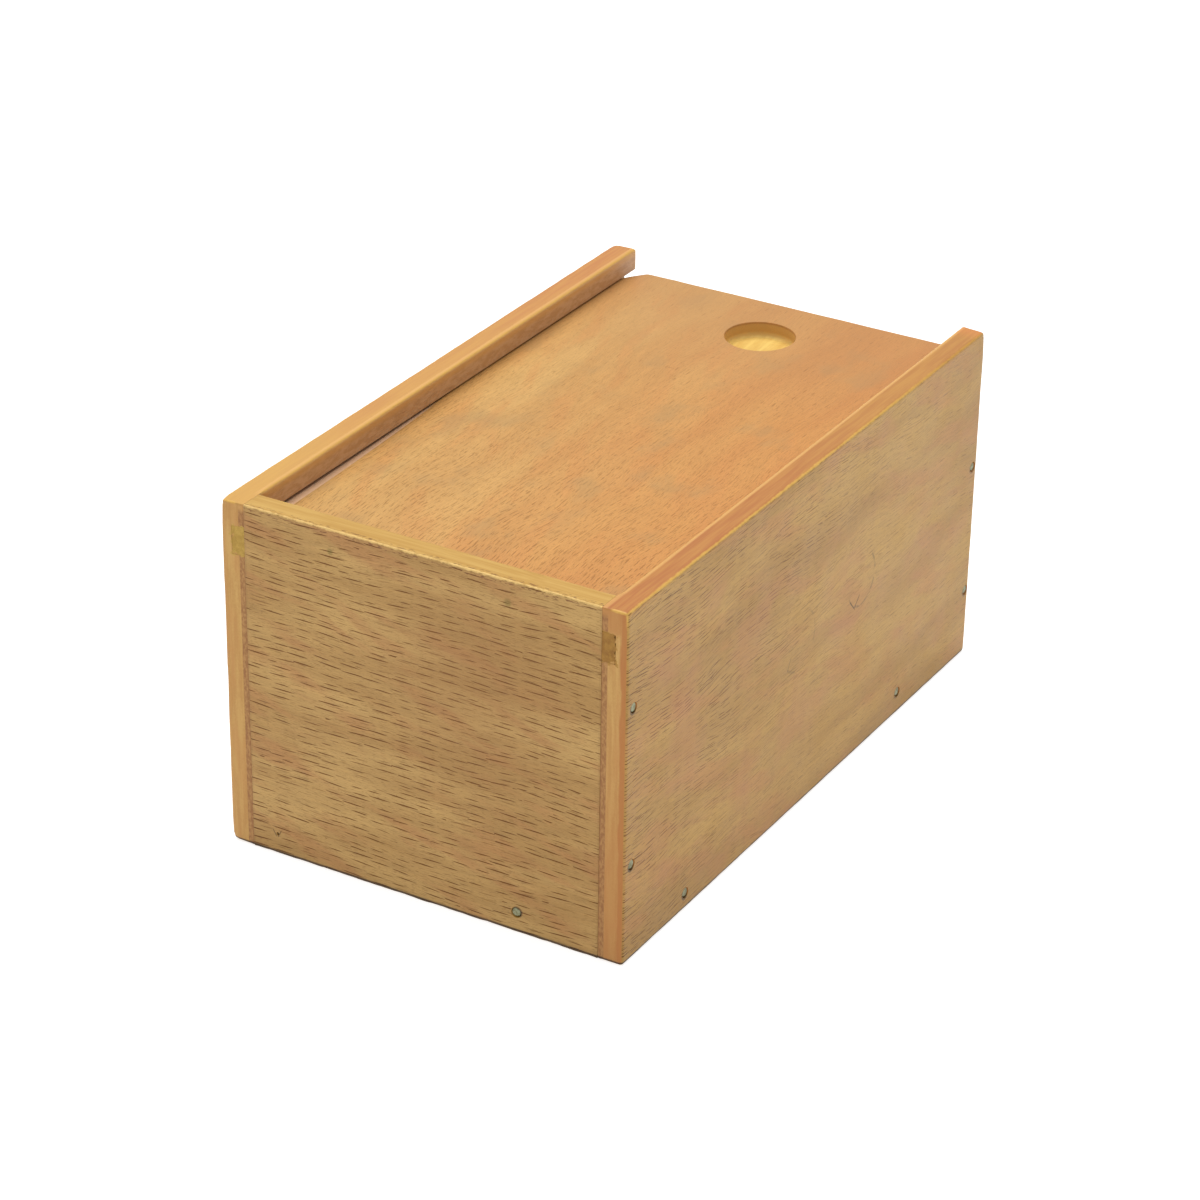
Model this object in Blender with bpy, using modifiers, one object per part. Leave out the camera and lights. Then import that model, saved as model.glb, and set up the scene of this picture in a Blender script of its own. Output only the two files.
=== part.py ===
"""A small slide-lid box of thin beech boards, nailed together with steel pins.

Units are metres and +Z is up. The closed end faces -Y, and the lid slides out
of the open end, towards +Y. The origin is on the table, under the box's middle.
"""

import bmesh
import bpy
from mathutils import Matrix, Vector

# Driving dimensions
BOX_WIDTH = 0.0952
BOX_LENGTH = 0.1583
BOX_HEIGHT = 0.0800
BOARD = 0.0057
BOTTOM_BOARD = 0.0080
LID_BOARD = 0.0059
MEETING_GAP = 0.0003

# The lid's groove in each side board
RIM_ABOVE_GROOVE = 0.0053
GROOVE_DEPTH = 0.0031
GROOVE_HEIGHT = LID_BOARD + 2.0 * MEETING_GAP

# The blind finger recess near the lid's pull edge
RECESS_RADIUS = 0.0080
RECESS_DEPTH = 0.0035
RECESS_FROM_PULL_EDGE = 0.0180
RECESS_OFF_CENTRE = 0.0006
RECESS_SEGMENTS = 48

# Sanded edges: a board's soft edge is a share of this width
SOFT_EDGE = 0.0010
SOFT_EDGE_SEGMENTS = 3

# Lost-head pins
PIN_HEAD_RADIUS = 0.0010
PIN_HEAD_RIM = 0.0002
PIN_HEAD_HEIGHT = 0.0006
PIN_NECK_HEIGHT = 0.0005
PIN_SHANK_RADIUS = 0.0006
PIN_LENGTH = 0.0150
PIN_POINT = 0.0020
PIN_SINK = 0.0001
PIN_SEGMENTS = 12

# How far a cutter stands out past the face that it cuts
OVERSHOOT = 0.0020

# Points nearer than this become one, and faces that meet more steeply than this look sharp
MERGE_DISTANCE = 0.00001
SHARP_ANGLE = 0.6

# Where the six pins of a side board go: back from the closed end, and up
SIDE_PINS = {
    "front_upper": (0.0030, 0.0581),
    "front_lower": (0.0032, 0.0223),
    "rear_upper": (BOX_LENGTH - 0.0026, 0.0475),
    "rear_lower": (BOX_LENGTH - 0.0026, 0.0163),
    "bottom_front": (0.0258, 0.0038),
    "bottom_rear": (0.1223, 0.0054),
}

# Where the two pins of an end board go, seen from outside: across from the middle, and up
END_PINS = {
    "left": (-0.0358, 0.0048),
    "right": (0.0227, 0.0046),
}

# Worked out from the driving dimensions
HALF_WIDTH = BOX_WIDTH / 2.0
HALF_LENGTH = BOX_LENGTH / 2.0
HALF_INSIDE_WIDTH = HALF_WIDTH - BOARD
HALF_INSIDE_LENGTH = HALF_LENGTH - BOARD
HALF_BETWEEN_SIDES = HALF_INSIDE_WIDTH - MEETING_GAP
GROOVE_TOP = BOX_HEIGHT - RIM_ABOVE_GROOVE
GROOVE_BOTTOM = GROOVE_TOP - GROOVE_HEIGHT
HALF_GROOVE_TO_GROOVE = HALF_INSIDE_WIDTH + GROOVE_DEPTH


def clear_scene():
    """Remove every object that the scene starts with."""
    for old_object in list(bpy.data.objects):
        bpy.data.objects.remove(old_object)


def new_collection(name, hidden=False):
    """A collection of its own under the scene's."""
    collection = bpy.data.collections.new(name)
    bpy.context.scene.collection.children.link(collection)
    collection.hide_render = hidden
    return collection


def linear(red, green, blue):
    """A colour given in 0 to 255 display steps, as the linear values a shader takes."""
    def channel(step):
        share = step / 255.0
        if share <= 0.04045:
            return share / 12.92
        return ((share + 0.055) / 1.055) ** 2.4
    return (channel(red), channel(green), channel(blue), 1.0)


def new_material(name, colour, roughness, metallic=0.0):
    """A plain finish for one kind of piece."""
    material = bpy.data.materials.new(name)
    material.use_nodes = True
    shader = material.node_tree.nodes["Principled BSDF"]
    shader.inputs["Base Color"].default_value = colour
    shader.inputs["Roughness"].default_value = roughness
    shader.inputs["Metallic"].default_value = metallic
    return material


def face_name(normal):
    """Which way a box's face looks, such as +X."""
    axis = max(range(3), key=lambda index: abs(normal[index]))
    sign = "+" if normal[axis] > 0.0 else "-"
    return sign + "XYZ"[axis]


def edge_between(face, other_face):
    """The name of the edge where two faces of a box meet."""
    return " ".join(sorted((face, other_face)))


def box_mesh(name, size, soft_edges=None):
    """A box about its own centre; soft_edges maps an edge's name to a share of SOFT_EDGE."""
    mesh = bpy.data.meshes.new(name)
    shape = bmesh.new()
    bmesh.ops.create_cube(shape, size=1.0, matrix=Matrix.Diagonal((*size, 1.0)))
    if soft_edges:
        shape.normal_update()
        share = shape.edges.layers.float.new("bevel_weight_edge")
        for edge in shape.edges:
            faces = [face_name(face.normal) for face in edge.link_faces]
            edge[share] = soft_edges.get(edge_between(*faces), 0.0)
    shape.to_mesh(mesh)
    shape.free()
    return mesh


def place(name, mesh, location, collection, parent=None):
    """Put a mesh in the scene as an object of that name."""
    placed = bpy.data.objects.new(name, mesh)
    placed.location = location
    placed.parent = parent
    collection.objects.link(placed)
    return placed


def add_board(name, low, high, material, collection, parent, soft_edges=None):
    """A board between two corners, with its soft edges rounded."""
    low = Vector(low)
    high = Vector(high)
    board = place(name, box_mesh(name, high - low, soft_edges), (low + high) / 2.0, collection, parent)
    board.data.materials.append(material)
    if soft_edges:
        rounding = board.modifiers.new("soft_edges", "BEVEL")
        rounding.limit_method = "WEIGHT"
        rounding.width = SOFT_EDGE
        rounding.segments = SOFT_EDGE_SEGMENTS
    return board


def mark_cutter(cutter):
    """Show a cutter as wire, and leave it out of what is built."""
    cutter.display_type = "WIRE"
    cutter.hide_render = True
    return cutter


def cut(board, cutter):
    """Take a cutter's shape out of a board."""
    boolean = board.modifiers.new(cutter.name, "BOOLEAN")
    boolean.operation = "DIFFERENCE"
    boolean.solver = "EXACT"
    boolean.object = cutter


def turned(name, profile, collection, parent=None):
    """A turned shape from (radius, height) points, given from its top down its outer side."""
    mesh = bpy.data.meshes.new(name)
    points = [(radius, 0.0, height) for radius, height in profile]
    edges = [(index, index + 1) for index in range(len(points) - 1)]
    mesh.from_pydata(points, edges, [])
    turned_shape = place(name, mesh, (0.0, 0.0, 0.0), collection, parent)
    screw = turned_shape.modifiers.new("turn", "SCREW")
    screw.axis = "Z"
    screw.steps = PIN_SEGMENTS
    screw.render_steps = PIN_SEGMENTS
    screw.use_merge_vertices = True
    screw.merge_threshold = MERGE_DISTANCE
    return turned_shape


def pin_profile():
    """A pin from the middle of its head, at height 0, down to its point."""
    return [
        (0.0, 0.0),
        (PIN_HEAD_RADIUS - PIN_HEAD_RIM, 0.0),
        (PIN_HEAD_RADIUS, -PIN_HEAD_RIM),
        (PIN_HEAD_RADIUS, -PIN_HEAD_HEIGHT),
        (PIN_SHANK_RADIUS, -PIN_HEAD_HEIGHT - PIN_NECK_HEIGHT),
        (PIN_SHANK_RADIUS, -PIN_LENGTH + PIN_POINT),
        (0.0, -PIN_LENGTH),
    ]


def pin_hole_profile():
    """The hole that a pin sits in, a meeting gap wider and deeper than the pin."""
    head_wall = PIN_HEAD_RADIUS + MEETING_GAP
    shank_wall = PIN_SHANK_RADIUS + MEETING_GAP
    head_floor = -PIN_HEAD_HEIGHT - PIN_NECK_HEIGHT - MEETING_GAP
    hole_end = -PIN_LENGTH - MEETING_GAP
    return [
        (0.0, OVERSHOOT),
        (head_wall, OVERSHOOT),
        (head_wall, head_floor),
        (shank_wall, head_floor),
        (shank_wall, hole_end),
        (0.0, hole_end),
    ]


def drive_pin(name, head_at, outward, boards, material, parts, cutters, parent):
    """A pin with its head at a board's outer face, and its hole through the boards it joins."""
    outward = Vector(outward)
    turn = outward.to_track_quat("Z", "Y").to_euler()
    pin = turned(name, pin_profile(), parts, parent)
    pin.location = Vector(head_at) - outward * PIN_SINK
    pin.rotation_euler = turn
    pin.data.materials.append(material)
    hole = turned(name + "_hole", pin_hole_profile(), cutters)
    hole.location = pin.location
    hole.rotation_euler = turn
    mark_cutter(hole)
    for board in boards:
        cut(board, hole)


def add_side(side, name, material, parts, cutters, parent):
    """A side board, side -1 on the left and +1 on the right, with the lid's groove in it."""
    outer = side * HALF_WIDTH
    inner = side * HALF_INSIDE_WIDTH
    out = "+X" if side > 0 else "-X"
    inward = "-X" if side > 0 else "+X"
    soft_edges = {
        edge_between(out, "+Z"): 1.0,
        edge_between(out, "-Z"): 0.8,
        edge_between(out, "-Y"): 0.9,
        edge_between(out, "+Y"): 1.0,
        edge_between(inward, "+Z"): 0.4,
        edge_between(inward, "-Y"): 0.9,
        edge_between(inward, "+Y"): 0.3,
        edge_between("+Z", "+Y"): 1.0,
        edge_between("+Z", "-Y"): 0.8,
        edge_between("-Z", "+Y"): 1.0,
        edge_between("-Z", "-Y"): 0.6,
    }
    low = (min(outer, inner), -HALF_LENGTH, 0.0)
    high = (max(outer, inner), HALF_LENGTH, BOX_HEIGHT)
    board = add_board(name, low, high, material, parts, parent, soft_edges)
    groove_size = (GROOVE_DEPTH + OVERSHOOT, BOX_LENGTH + 2.0 * OVERSHOOT, GROOVE_HEIGHT)
    groove_centre = (
        side * (HALF_GROOVE_TO_GROOVE - groove_size[0] / 2.0),
        0.0,
        (GROOVE_TOP + GROOVE_BOTTOM) / 2.0,
    )
    groove = place(name + "_groove", box_mesh(name + "_groove", groove_size), groove_centre, cutters)
    cut(board, mark_cutter(groove))
    return board


def add_front_end(material, parts, parent):
    """The closed end board, as high as the sides and let in between them."""
    soft_edges = {
        edge_between("-Y", "+Z"): 0.8,
        edge_between("+Y", "+Z"): 0.3,
        edge_between("-Y", "-Z"): 0.4,
    }
    low = (-HALF_BETWEEN_SIDES, -HALF_LENGTH, 0.0)
    high = (HALF_BETWEEN_SIDES, -HALF_INSIDE_LENGTH, BOX_HEIGHT)
    return add_board("front_end", low, high, material, parts, parent, soft_edges)


def add_rear_end(material, parts, parent):
    """The open end board, which stops just under the lid."""
    soft_edges = {
        edge_between("+Y", "+Z"): 0.5,
        edge_between("-Y", "+Z"): 0.3,
        edge_between("+Y", "-Z"): 0.4,
    }
    low = (-HALF_BETWEEN_SIDES, HALF_INSIDE_LENGTH, 0.0)
    high = (HALF_BETWEEN_SIDES, HALF_LENGTH, GROOVE_BOTTOM)
    return add_board("rear_end", low, high, material, parts, parent, soft_edges)


def add_bottom(material, parts, parent):
    """The bottom board, flush with the walls' lower edges and let in between all four."""
    half_between_ends = HALF_INSIDE_LENGTH - MEETING_GAP
    low = (-HALF_BETWEEN_SIDES, -half_between_ends, 0.0)
    high = (HALF_BETWEEN_SIDES, half_between_ends, BOTTOM_BOARD)
    return add_board("bottom_board", low, high, material, parts, parent)


def add_lid(material, parts, cutters, parent):
    """The lid board with its finger recess; it runs in both grooves and butts on the closed end."""
    soft_edges = {
        edge_between("+Y", "+Z"): 0.6,
        edge_between("+Y", "-Z"): 0.6,
    }
    for side_face in ("-X", "+X"):
        soft_edges[edge_between(side_face, "+Y")] = 1.0
        soft_edges[edge_between(side_face, "+Z")] = 0.7
        soft_edges[edge_between(side_face, "-Z")] = 0.4
    half_lid_width = HALF_GROOVE_TO_GROOVE - MEETING_GAP
    lid_bottom = GROOVE_BOTTOM + MEETING_GAP
    lid_top = lid_bottom + LID_BOARD
    low = (-half_lid_width, -HALF_INSIDE_LENGTH + MEETING_GAP, lid_bottom)
    high = (half_lid_width, HALF_LENGTH, lid_top)
    lid = add_board("sliding_lid", low, high, material, parts, parent, soft_edges)
    mesh = bpy.data.meshes.new("finger_recess")
    shape = bmesh.new()
    bmesh.ops.create_cone(
        shape,
        cap_ends=True,
        segments=RECESS_SEGMENTS,
        radius1=RECESS_RADIUS,
        radius2=RECESS_RADIUS,
        depth=RECESS_DEPTH + OVERSHOOT,
    )
    shape.to_mesh(mesh)
    shape.free()
    recess_centre = (
        RECESS_OFF_CENTRE,
        HALF_LENGTH - RECESS_FROM_PULL_EDGE,
        lid_top - RECESS_DEPTH + (RECESS_DEPTH + OVERSHOOT) / 2.0,
    )
    cut(lid, mark_cutter(place("finger_recess", mesh, recess_centre, cutters)))
    return lid


def add_groove_filler(side, name, material, parts, parent):
    """The putty that fills a groove where it would show in the closed end's corner."""
    groove_floor = side * (HALF_GROOVE_TO_GROOVE - MEETING_GAP)
    inner = side * HALF_INSIDE_WIDTH
    low = (min(groove_floor, inner), -HALF_LENGTH, GROOVE_BOTTOM + MEETING_GAP)
    high = (max(groove_floor, inner), -HALF_INSIDE_LENGTH, GROOVE_TOP - MEETING_GAP)
    return add_board(name, low, high, material, parts, parent)


def shade(parts):
    """Shade every part smooth across its rounded edges, and flat across its corners."""
    for part in parts.objects:
        if part.type != "MESH":
            continue
        part.data.shade_smooth()
        part.data.set_sharp_from_angle(angle=SHARP_ANGLE)


def build():
    """Make the box, its lid and its pins."""
    clear_scene()
    parts = new_collection("slide_lid_box")
    cutters = new_collection("cutters", hidden=True)
    side_wood = new_material("side_wood", linear(190, 151, 104), 0.42)
    end_wood = new_material("end_wood", linear(180, 142, 92), 0.42)
    bottom_wood = new_material("bottom_wood", linear(188, 150, 104), 0.50)
    lid_wood = new_material("lid_wood", linear(216, 162, 104), 0.38)
    putty = new_material("putty", linear(176, 142, 78), 0.60)
    pin_steel = new_material("pin_steel", linear(140, 138, 122), 0.45, metallic=1.0)

    box = place("box", None, (0.0, 0.0, 0.0), parts)
    lid_slide = place("lid_slide", None, (0.0, HALF_LENGTH, GROOVE_BOTTOM), parts, box)

    sides = {
        "left": add_side(-1, "left_side", side_wood, parts, cutters, box),
        "right": add_side(1, "right_side", side_wood, parts, cutters, box),
    }
    front_end = add_front_end(end_wood, parts, box)
    rear_end = add_rear_end(end_wood, parts, box)
    bottom = add_bottom(bottom_wood, parts, box)
    add_groove_filler(-1, "groove_filler_left", putty, parts, box)
    add_groove_filler(1, "groove_filler_right", putty, parts, box)

    lid = add_lid(lid_wood, parts, cutters, lid_slide)
    lid.matrix_parent_inverse = Matrix.Translation(-lid_slide.location)

    taken_by = {"front": front_end, "rear": rear_end, "bottom": bottom}
    for side_name, side in (("left", -1), ("right", 1)):
        for pin_name, (back, up) in SIDE_PINS.items():
            head_at = (side * HALF_WIDTH, back - HALF_LENGTH, up)
            boards = (sides[side_name], taken_by[pin_name.split("_")[0]])
            name = "pin_" + side_name + "_" + pin_name
            drive_pin(name, head_at, (side, 0.0, 0.0), boards, pin_steel, parts, cutters, box)
    for end_name, end, board in (("front", -1, front_end), ("rear", 1, rear_end)):
        for pin_name, (across, up) in END_PINS.items():
            head_at = (-end * across, end * HALF_LENGTH, up)
            name = "pin_" + end_name + "_" + pin_name
            drive_pin(name, head_at, (0.0, end, 0.0), (board, bottom), pin_steel, parts, cutters, box)
    shade(parts)


build()
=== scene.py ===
"""The finished look of a slide-lid beech box: worn lacquered boards, putty and steel pins."""

import math

import bmesh
import bpy
from mathutils import Matrix, Vector, noise


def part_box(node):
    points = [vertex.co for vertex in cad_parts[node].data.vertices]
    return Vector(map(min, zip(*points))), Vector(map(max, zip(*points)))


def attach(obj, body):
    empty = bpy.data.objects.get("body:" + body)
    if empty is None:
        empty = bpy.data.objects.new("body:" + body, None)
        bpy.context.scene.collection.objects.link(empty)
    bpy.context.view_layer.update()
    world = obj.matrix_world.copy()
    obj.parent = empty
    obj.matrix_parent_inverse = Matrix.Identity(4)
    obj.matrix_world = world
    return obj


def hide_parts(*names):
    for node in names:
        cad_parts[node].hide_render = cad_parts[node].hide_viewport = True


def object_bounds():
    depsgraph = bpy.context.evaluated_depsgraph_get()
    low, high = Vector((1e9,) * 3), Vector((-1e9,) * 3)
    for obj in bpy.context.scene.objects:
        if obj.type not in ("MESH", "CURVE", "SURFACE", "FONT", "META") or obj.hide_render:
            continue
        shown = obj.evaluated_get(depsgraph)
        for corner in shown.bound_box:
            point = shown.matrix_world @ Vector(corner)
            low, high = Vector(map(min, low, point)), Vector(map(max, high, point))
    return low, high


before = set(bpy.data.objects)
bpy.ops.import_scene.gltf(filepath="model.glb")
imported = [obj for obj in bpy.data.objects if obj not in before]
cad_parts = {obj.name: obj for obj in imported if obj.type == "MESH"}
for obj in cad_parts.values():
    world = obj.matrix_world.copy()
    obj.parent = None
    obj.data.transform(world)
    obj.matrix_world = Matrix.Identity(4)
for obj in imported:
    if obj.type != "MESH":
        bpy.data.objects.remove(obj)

MM = 0.001
AXES = "XYZ"
UP = Vector((0.0, 0.0, 1.0))
SCENE = bpy.context.scene

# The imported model, which the visible pieces follow
CAD_LOW, CAD_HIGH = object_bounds()
SIDE_LOW, SIDE_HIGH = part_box("right_side")
LID_LOW, LID_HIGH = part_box("sliding_lid")
PUTTY_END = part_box("groove_filler_right")[1].y
PIN_NODES = sorted(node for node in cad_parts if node.startswith("pin_"))

# The walls' inner faces, and the grooves with a little room around the lid
LID_ROOM = 0.3 * MM
WALL_INSIDE = SIDE_LOW.x
GROOVE_LOW = LID_LOW.z - LID_ROOM
GROOVE_HIGH = LID_HIGH.z + LID_ROOM
GROOVE_WALL = LID_HIGH.x + LID_ROOM
GROOVE_LIP = 0.18 * MM

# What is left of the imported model's gaps: around the bottom board, and around the ends and the putty
GLUE_LINE = 0.05 * MM
CLOSE_LINE = 0.01 * MM

# How closely boards are cut up for their soft edges and their slightly uneven faces
EDGE_ZONE = 1.6 * MM
EDGE_CUTS = 6
LONG_STEP = 1.1 * MM
END_STEP = 0.8 * MM
THIN_STEP = 2.0 * MM
FACE_STEP = 4.0 * MM
PUTTY_STEP = 0.4 * MM
SHARP_ANGLE = math.radians(38.0)

# Over what lengths soft edges and faces wander, and how wide a face's flat border is
EDGE_WAVE = 4.5 * MM
EDGE_RIPPLE = 1.4 * MM
FACE_WAVE = 16.0 * MM
FLAT_BORDER = 6.0 * MM

# The sunk strip that a side board's front end shows beside the closed end
STRIP_WIDTH = 1.25 * MM
STRIP_DEPTH = 0.06 * MM

# How much shorter the right side is at its foot than at its top, and over what length
OUT_OF_SQUARE = 1.2 * MM
TRIM_ZONE = 12.0 * MM

# The lid's left edge is bevelled for a share of its length, and its far corners are eased
BEVEL_WIDTH = 2.1 * MM
BEVEL_SLOPE = 0.13
BEVEL_RUN = 0.46
CORNER_RUN = 12.3 * MM
CORNER_CUT = 6.3 * MM
CORNER_REACH = 14.0 * MM

# The finger recess
RECESS_RADIUS = 8.0 * MM
RECESS_DEPTH = 3.5 * MM
RECESS_HOLLOW = 1.3 * MM
RECESS_FROM_END = 18.0 * MM
RECESS_ASIDE = 0.6 * MM
RECESS_SEGMENTS = 96

# A pin and its hole; one pin was driven deep, and the wood has nearly closed over it
PIN_SEGMENTS = 40
HEAD_RADIUS = 1.0 * MM
HEAD_DEPTH = 0.6 * MM
NECK_DEPTH = 1.1 * MM
SHANK_RADIUS = 0.6 * MM
POINT_LENGTH = 2.0 * MM
HOLE_ROOM = 0.12 * MM
HOLE_CRUSH = 0.10 * MM
PIN_SUNK = 0.03 * MM
PIN_SHIFT = 0.10 * MM
PIN_LEAN = math.radians(1.2)
PIT_RADIUS = 0.30 * MM
BURIED_PIN = "pin_front_left"
BURIED_BY = 0.45 * MM

# How far cutters reach past the faces that they cut
OVER = 1.5 * MM


# ---- colours

def tone(red, green, blue):
    """A colour in 0 to 255 display steps, as the linear colour that a shader takes."""
    def channel(step):
        share = step / 255.0
        if share <= 0.04045:
            return share / 12.92
        return ((share + 0.055) / 1.055) ** 2.4
    return (channel(red), channel(green), channel(blue), 1.0)


# Each board's ground: its pale bands, its dark bands, and its patches
CLOSED_END_GROUND = (tone(192, 154, 94), tone(174, 135, 79), tone(176, 124, 76))
OPEN_END_GROUND = (tone(190, 152, 96), tone(174, 134, 80), tone(184, 136, 88))
SIDE_GROUND = (tone(187, 146, 76), tone(171, 130, 66), tone(183, 130, 74))
BOTTOM_GROUND = (tone(198, 160, 114), tone(184, 144, 98), tone(190, 142, 108))
LID_LEFT_GROUND = (tone(206, 162, 98), tone(198, 150, 88), tone(204, 140, 80))
LID_RIGHT_GROUND = (tone(204, 146, 82), tone(198, 136, 76), tone(204, 140, 80))

# Marks in the wood, wear and dirt, with painted shade and highlight among them: a painted contact shadow at
# the foot, painted shadow in the pin holes, and arris colours that are both wear and painted highlight
FLECK_BROWN = tone(106, 62, 10)
PORE_BROWN = tone(126, 88, 48)
GRIME_BROWN = tone(118, 76, 46)
HOLE_BROWN = tone(66, 50, 34)
CONTACT_SHADOW_BROWN = tone(52, 36, 22)
NICK_BROWN = tone(84, 66, 38)
RUB_BROWN = tone(104, 84, 50)
RUDDY_BROWN = tone(150, 104, 60)
ROSY_BROWN = tone(184, 122, 82)
STAIN_GREEN = tone(112, 100, 44)
SCUFF_GREY = tone(150, 130, 104)
ARRIS_GOLD = tone(226, 180, 92)
ARRIS_WORN_HIGHLIGHT = tone(236, 198, 124)
ARRIS_BROWN = tone(190, 138, 62)

# The closed end's top, the side boards' rims, walls, ends and sunk strips; the wall colours are painted
# bounce light, the rim's inner arris colour is a painted highlight, and the strips' brown is partly painted
# shade
TOP_SHADE = tone(190, 146, 74)
TOP_GOLD = tone(206, 166, 92)
RIM_YELLOW = tone(206, 158, 88)
RIM_PINK = tone(196, 132, 80)
RIM_ORANGE = tone(180, 114, 66)
RIM_TAN = tone(184, 128, 70)
RIM_GLOW = tone(220, 138, 80)
RIM_INNER_HIGHLIGHT = tone(226, 176, 106)
WALL_BOUNCE_TAN = tone(202, 158, 114)
WALL_BOUNCE_PALE = tone(218, 178, 136)
END_GRAIN_GOLD = tone(206, 166, 98)
END_GRAIN_BROWN = tone(190, 144, 82)
END_GRAIN_WARM = tone(194, 140, 82)
END_GRAIN_DARK = tone(178, 114, 60)
STRIP_DARK = tone(146, 98, 58)
STRIP_PALE = tone(176, 130, 78)
BARE_BEECH = tone(206, 168, 122)

# The lid's blotches, its far end, the painted sheen on its bevel and its recess
LID_BLOTCH = tone(172, 138, 90)
LID_FAR = tone(184, 132, 84)
BEVEL_SHEEN_PALE = tone(222, 184, 150)
RECESS_SHADE = tone(216, 172, 88)
RECESS_PALE = tone(238, 204, 116)
RECESS_WALL = tone(226, 186, 112)

# Putty, steel and the table
PUTTY_GREENISH = tone(190, 154, 74)
PUTTY_GREEN_SHADE = tone(174, 138, 62)
PUTTY_BROWNISH = tone(166, 122, 54)
PUTTY_BROWN_SHADE = tone(146, 102, 44)
PUTTY_PIT = tone(96, 72, 34)
STEEL_GREY = tone(152, 154, 122)
STEEL_TARNISH = tone(122, 118, 82)
STEEL_SPECK = tone(66, 58, 42)
TABLE_SHADE = tone(196, 196, 196)
TABLE_PALE = tone(202, 202, 202)
WHITE = (1.0, 1.0, 1.0, 1.0)
COAT_ROUGHNESS = 0.28


# ---- shader maths

def operator(operation, swapped=False):
    """A method that does one sum on a Field with a Math node."""
    def method(field, *others):
        values = (*others, field) if swapped else (field, *others)
        return field.recipe.math(operation, *values)
    return method


class Field:
    """A value that varies over a surface: one output of a node, with arithmetic on it."""

    __add__ = __radd__ = operator("ADD")
    __sub__ = operator("SUBTRACT")
    __rsub__ = operator("SUBTRACT", swapped=True)
    __mul__ = __rmul__ = operator("MULTIPLY")
    __truediv__ = operator("DIVIDE")
    __pow__ = operator("POWER")
    __abs__ = operator("ABSOLUTE")

    def __init__(self, recipe, socket):
        self.recipe = recipe
        self.socket = socket

    def output(self, name):
        """Another output of the node that this one comes from."""
        return Field(self.recipe, self.socket.node.outputs[name])


class Recipe:
    """The nodes of one finish, painted on step by step; its places are in millimetres."""

    def __init__(self, name):
        self.material = bpy.data.materials.new(name)
        self.material.use_nodes = True
        self.tree = self.material.node_tree
        self.shader = self.tree.nodes["Principled BSDF"]
        place = self.node("ShaderNodeTexCoord", {}, {}, "Object")
        self.place = self.times(place, 1.0 / MM)
        self.x, self.y, self.z = self.split(self.place)
        self.facing = self.split(place.output("Normal"))
        self.colour = None

    def node(self, kind, settings, values, output=0):
        """Add a node, set it up, fill its sockets, and hand back one of its outputs."""
        node = self.tree.nodes.new(kind)
        for name, setting in settings.items():
            setattr(node, name, setting)
        for name, value in values.items():
            self.fill(node.inputs[name], value)
        return Field(self, node.outputs[output])

    def fill(self, socket, value):
        """Link a Field to a socket, or set the socket to a plain value."""
        if isinstance(value, Field):
            self.tree.links.new(value.socket, socket)
        else:
            socket.default_value = value

    def math(self, operation, *values):
        """One Math node on numbers or Fields."""
        return self.node("ShaderNodeMath", {"operation": operation}, dict(enumerate(values)))

    def smaller(self, first, second):
        return self.math("MINIMUM", first, second)

    def larger(self, first, *others):
        """The largest of two or more values."""
        for other in others:
            first = self.math("MAXIMUM", first, other)
        return first

    def rise(self, value, start, end):
        """A smooth step from 0 at start to 1 at end; start may be the larger one."""
        settings = {"interpolation_type": "SMOOTHSTEP"}
        return self.node("ShaderNodeMapRange", settings, {"Value": value, "From Min": start, "From Max": end})

    def point(self, x, y, z):
        return self.node("ShaderNodeCombineXYZ", {}, {0: x, 1: y, 2: z})

    def split(self, point):
        first = self.node("ShaderNodeSeparateXYZ", {}, {0: point})
        return first, first.output("Y"), first.output("Z")

    def times(self, vector, factor):
        """A vector or a colour, scaled by a factor."""
        return self.node("ShaderNodeVectorMath", {"operation": "SCALE"}, {0: vector, "Scale": factor})

    def scaled(self, size):
        """The place, scaled so that one unit is that many millimetres."""
        return self.times(self.place, 1.0 / size)

    def looks(self, axis, sign):
        """1 on faces that look along an axis, the way that sign gives, and 0 on the others."""
        return self.rise(self.facing[axis] * sign, 0.5, 0.9)

    def cloud(self, point, detail=2.0, roughness=0.5):
        """Soft noise, mostly between 0.3 and 0.7."""
        values = {"Vector": point, "Scale": 1.0, "Detail": detail, "Roughness": roughness}
        return self.node("ShaderNodeTexNoise", {}, values)

    def length(self, first, second):
        """How long the diagonal of two distances is."""
        return (first * first + second * second) ** 0.5

    def spot(self, across, up, centre_across, centre_up, size, soft=0.65):
        """1 at a place on a face, falling to 0 one size away from it; soft is the share that falls."""
        return self.rise(self.length(across - centre_across, up - centre_up), size, size * (1.0 - soft))

    def blend(self, share, first, second):
        """Two colours mixed: first where share is 0, second where it is 1."""
        return self.node("ShaderNodeMix", {"data_type": "RGBA"}, {0: share, 6: first, 7: second}, 2)

    def paint(self, share, colour):
        """Lay a colour over what has been painted so far."""
        self.colour = self.blend(share, self.colour, colour)

    def finish(self, roughness, relief, coat=0.0, metallic=0.0, specular=0.5):
        """Feed the shader: what has been painted, its gloss, and a relief given in millimetres."""
        bump = self.node("ShaderNodeBump", {}, {"Height": relief, "Distance": MM, "Strength": 1.0})
        values = {"Base Color": self.colour, "Roughness": roughness, "Normal": bump, "Coat Weight": coat,
                  "Coat Roughness": COAT_ROUGHNESS, "Metallic": metallic, "Specular IOR Level": specular}
        for name, value in values.items():
            self.fill(self.shader.inputs[name], value)
        return self.material


# ---- beech

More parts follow.
